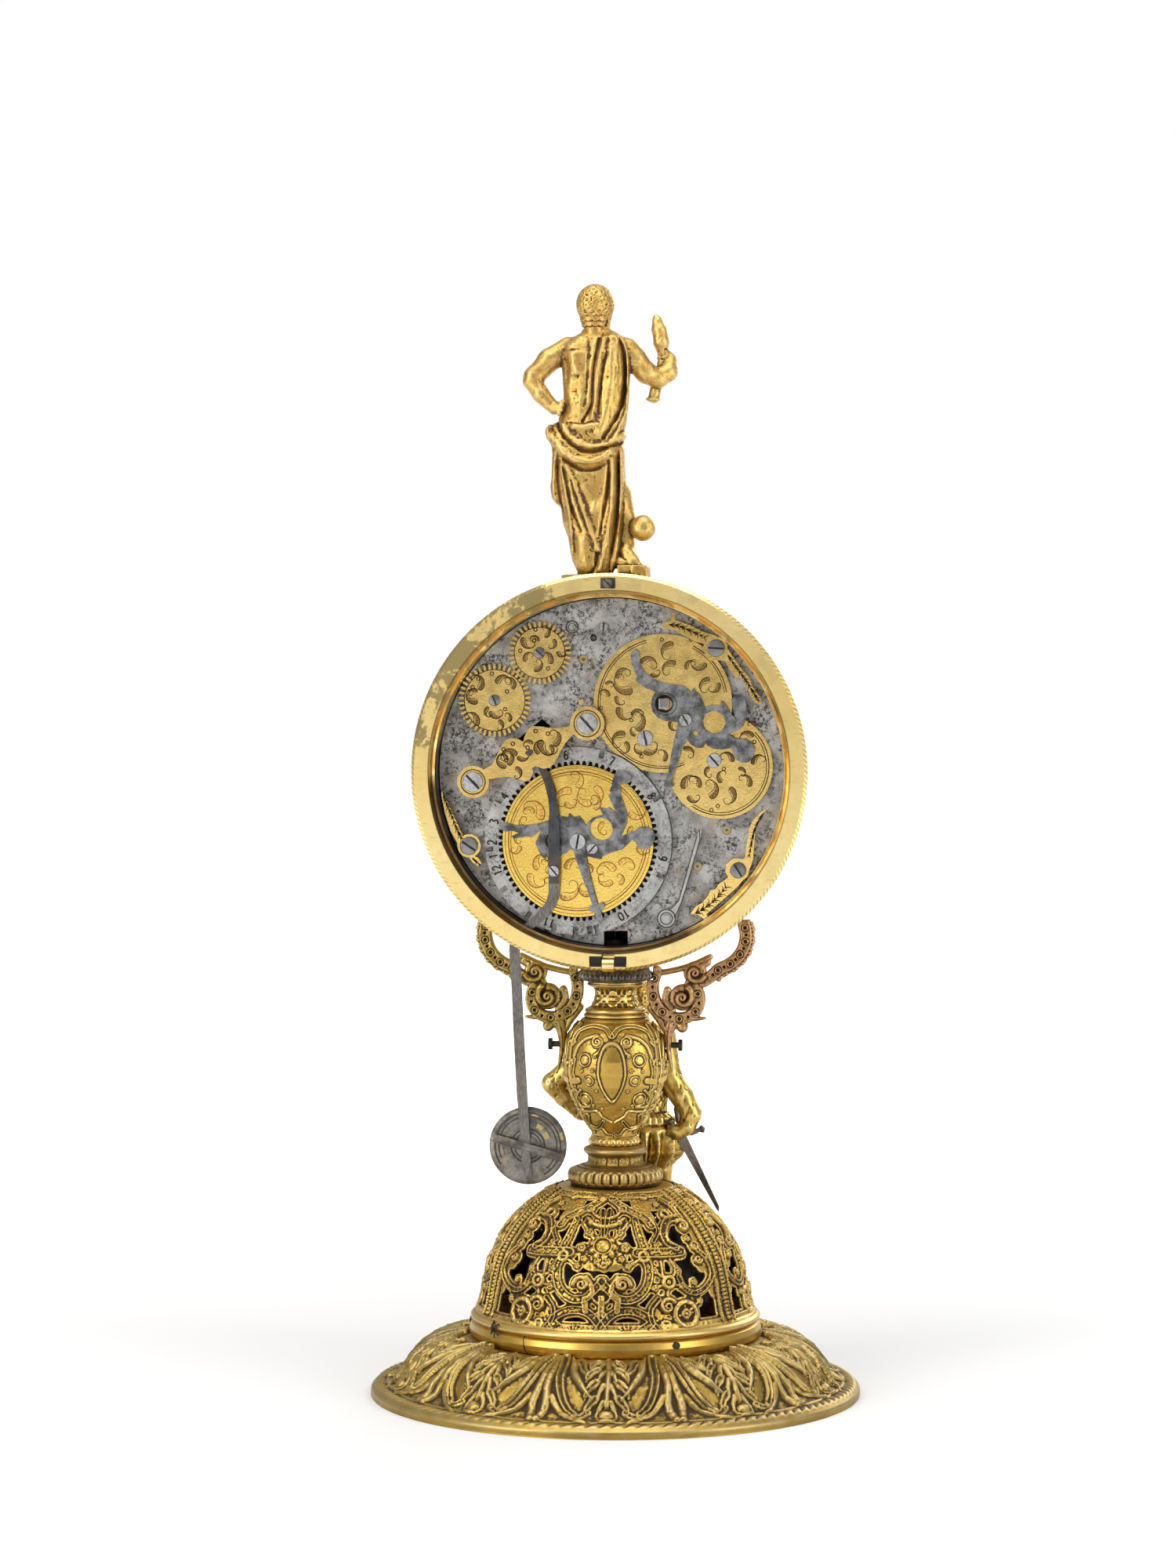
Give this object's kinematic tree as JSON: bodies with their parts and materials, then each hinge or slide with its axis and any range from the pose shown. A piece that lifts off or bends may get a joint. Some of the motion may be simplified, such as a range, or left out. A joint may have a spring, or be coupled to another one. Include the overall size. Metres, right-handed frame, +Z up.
{
  "type": "table clock",
  "caption": "Round gilt-metal spring clock with visible rear movement, short pendulum, scroll brackets and figured stem on a pierced domed foot that houses the bell.",
  "frame": {"origin": "centre of the foot's underside", "axes": "+Z up through the stem; -Y is the movement (back) side, +Y the dial side, +X to the right when the movement faces you"},
  "size_m": [0.1444, 0.1444, 0.3255],
  "materials": {
    "fire_gilt_cast": "worn fire gilding on chased cast metal",
    "fire_gilt_sheet": "bright engraved gilding",
    "movement_brass": "satin brass",
    "bell_metal": "dark bell metal",
    "grey_steel": "old pitted iron",
    "dark_steel": "worn steel"
  },
  "bodies": {
    "frame": {"back_plate": "grey_steel", "base_plate": "movement_brass", "bell": "bell_metal", "bracket_left": "fire_gilt_cast", "bracket_right": "fire_gilt_cast", "bridge_pointers": "grey_steel", "case_fasteners": "dark_steel", "count_bridge": "grey_steel", "count_disc": "fire_gilt_sheet", "crown_potence": "dark_steel", "dial_plate": "fire_gilt_sheet", "dome_cover": "fire_gilt_cast", "dome_pins": "dark_steel", "drum_band": "fire_gilt_sheet", "drum_seat": "fire_gilt_cast", "foot": "fire_gilt_cast", "foot_ring": "fire_gilt_cast", "front_bezel": "fire_gilt_sheet", "front_plate": "movement_brass", "going_bridge": "grey_steel", "lower_disc": "fire_gilt_sheet", "lower_figure": "fire_gilt_cast", "lower_sword": "dark_steel", "movement_screws": "dark_steel", "pendulum_cock": "fire_gilt_sheet", "plate_pillars": "movement_brass", "stem_collar": "fire_gilt_cast", "stem_neck": "fire_gilt_cast", "stem_nuts": "dark_steel", "stem_tube": "dark_steel", "stem_vase": "fire_gilt_cast", "top_figure": "fire_gilt_cast", "upper_disc": "fire_gilt_sheet"},
    "bezel": {"rear_bezel": "fire_gilt_sheet", "bezel_hinge_pin": "dark_steel", "latch_plate": "dark_steel"},
    "latch": {"latch_screw": "dark_steel"},
    "pendulum": {"verge_and_crutch": "dark_steel", "pendulum_rod": "dark_steel", "pendulum_bob": "dark_steel", "pendulum_screw": "dark_steel"},
    "fusee": {"fusee_wheel": "dark_steel"},
    "going_barrel": {"going_barrel": "movement_brass"},
    "second_wheel": {"second_wheel": "movement_brass"},
    "contrate_wheel": {"contrate_wheel": "movement_brass"},
    "crown_wheel": {"crown_wheel": "movement_brass"},
    "hour_work": {"hour_wheel": "movement_brass", "hour_hand": "dark_steel"},
    "strike_barrel": {"strike_barrel": "dark_steel"},
    "strike_second": {"strike_second_wheel": "movement_brass"},
    "fly": {"fly": "dark_steel"},
    "count_wheel": {"count_wheel": "grey_steel"},
    "upper_rear_gear": {"upper_rear_gear": "fire_gilt_sheet"},
    "lower_rear_gear": {"lower_rear_gear": "fire_gilt_sheet"},
    "dog_top": {"latch_dog_top": "fire_gilt_sheet"},
    "dog_left": {"latch_dog_left": "fire_gilt_sheet"},
    "dog_right": {"latch_dog_right": "fire_gilt_sheet"},
    "detent_lever": {"detent_lever": "grey_steel"},
    "bell_hammer": {"bell_hammer": "dark_steel"},
    "hammer_rod": {"hammer_rod": "dark_steel"}
  },
  "joints": [
    {"name": "bezel_open", "type": "hinge", "parent": "frame", "child": "bezel", "pos_m": [0, -0.0194, 0.1273], "axis": [1, 0, 0], "range_deg": [0, 95]},
    {"name": "latch_turn", "type": "hinge", "parent": "bezel", "child": "latch", "pos_m": [0, -0.02, 0.2373], "axis": [0, 1, 0], "range_deg": [0, 80]},
    {"name": "pendulum_swing", "type": "hinge", "parent": "frame", "child": "pendulum", "pos_m": [-0.0229, -0.012, 0.1885], "axis": [0, 1, 0], "range_deg": [-8, 8]},
    {"name": "fusee_turn", "type": "hinge", "parent": "frame", "child": "fusee", "pos_m": [0.01576, -0.012, 0.20264], "axis": [0, 1, 0], "continuous": true},
    {"name": "going_barrel_turn", "type": "hinge", "parent": "frame", "child": "going_barrel", "pos_m": [0.03167, -0.012, 0.18543], "axis": [0, 1, 0], "continuous": true},
    {"name": "second_wheel_turn", "type": "hinge", "parent": "frame", "child": "second_wheel", "pos_m": [0.00168, -0.012, 0.1964], "axis": [0, 1, 0], "continuous": true},
    {"name": "contrate_turn", "type": "hinge", "parent": "frame", "child": "contrate_wheel", "pos_m": [-0.00878, -0.012, 0.20306], "axis": [0, 1, 0], "continuous": true},
    {"name": "crown_wheel_turn", "type": "hinge", "parent": "frame", "child": "crown_wheel", "pos_m": [-0.0229, 0.002, 0.1885], "axis": [0.6962, 0, 0.7179], "continuous": true},
    {"name": "hour_hand_turn", "type": "hinge", "parent": "frame", "child": "hour_work", "pos_m": [0, -0.012, 0.1829], "axis": [0, 1, 0], "continuous": true},
    {"name": "strike_barrel_turn", "type": "hinge", "parent": "frame", "child": "strike_barrel", "pos_m": [-0.0165, -0.012, 0.1629], "axis": [0, 1, 0], "continuous": true},
    {"name": "strike_second_turn", "type": "hinge", "parent": "frame", "child": "strike_second", "pos_m": [0.00233, -0.012, 0.17936], "axis": [0, 1, 0], "continuous": true},
    {"name": "fly_turn", "type": "hinge", "parent": "frame", "child": "fly", "pos_m": [0.01282, -0.012, 0.17198], "axis": [0, 1, 0], "continuous": true},
    {"name": "count_wheel_turn", "type": "hinge", "parent": "frame", "child": "count_wheel", "pos_m": [-0.0095, -0.012, 0.1628], "axis": [0, 1, 0], "continuous": true},
    {"name": "upper_gear_turn", "type": "hinge", "parent": "frame", "child": "upper_rear_gear", "pos_m": [-0.0207, -0.012, 0.2174], "axis": [0, 1, 0], "continuous": true},
    {"name": "lower_gear_turn", "type": "hinge", "parent": "frame", "child": "lower_rear_gear", "pos_m": [-0.0339, -0.012, 0.2036], "axis": [0, 1, 0], "continuous": true},
    {"name": "dog_top_turn", "type": "hinge", "parent": "frame", "child": "dog_top", "pos_m": [0.03078, -0.012, 0.21867], "axis": [0, -1, 0], "range_deg": [0, 6]},
    {"name": "dog_left_turn", "type": "hinge", "parent": "frame", "child": "dog_left", "pos_m": [-0.0412, -0.012, 0.1613], "axis": [0, 1, 0], "range_deg": [0, 6]},
    {"name": "dog_right_turn", "type": "hinge", "parent": "frame", "child": "dog_right", "pos_m": [0.03722, -0.012, 0.15463], "axis": [0, 1, 0], "range_deg": [0, 6]},
    {"name": "detent_lift", "type": "hinge", "parent": "frame", "child": "detent_lever", "pos_m": [0.01625, -0.012, 0.14044], "axis": [0, 1, 0], "range_deg": [-4, 4]},
    {"name": "hammer_swing", "type": "hinge", "parent": "frame", "child": "bell_hammer", "pos_m": [0.0185, 0, 0.024], "axis": [0, -1, 0], "range_deg": [0, 8], "stiffness_Nm_per_rad": 0.05},
    {"name": "hammer_rod_slide", "type": "slide", "parent": "frame", "child": "hammer_rod", "axis": [0, 0, -1], "range_m": [0, 0.00248]}
  ],
  "couplings": [
    {"joint": "going_barrel_turn", "follows": "fusee_turn", "ratio": 0.65},
    {"joint": "second_wheel_turn", "follows": "fusee_turn", "ratio": -6},
    {"joint": "contrate_turn", "follows": "fusee_turn", "ratio": 40.5},
    {"joint": "crown_wheel_turn", "follows": "fusee_turn", "ratio": -202.5},
    {"joint": "hour_hand_turn", "follows": "fusee_turn", "ratio": 1.3636},
    {"joint": "strike_second_turn", "follows": "strike_barrel_turn", "ratio": -8},
    {"joint": "fly_turn", "follows": "strike_barrel_turn", "ratio": 57.143},
    {"joint": "count_wheel_turn", "follows": "strike_barrel_turn", "ratio": -0.82051},
    {"joint": "lower_gear_turn", "follows": "upper_gear_turn", "ratio": -0.85714},
    {"joint": "hammer_swing", "follows": "hammer_rod_slide", "rad_per_m": 56.18}
  ]
}
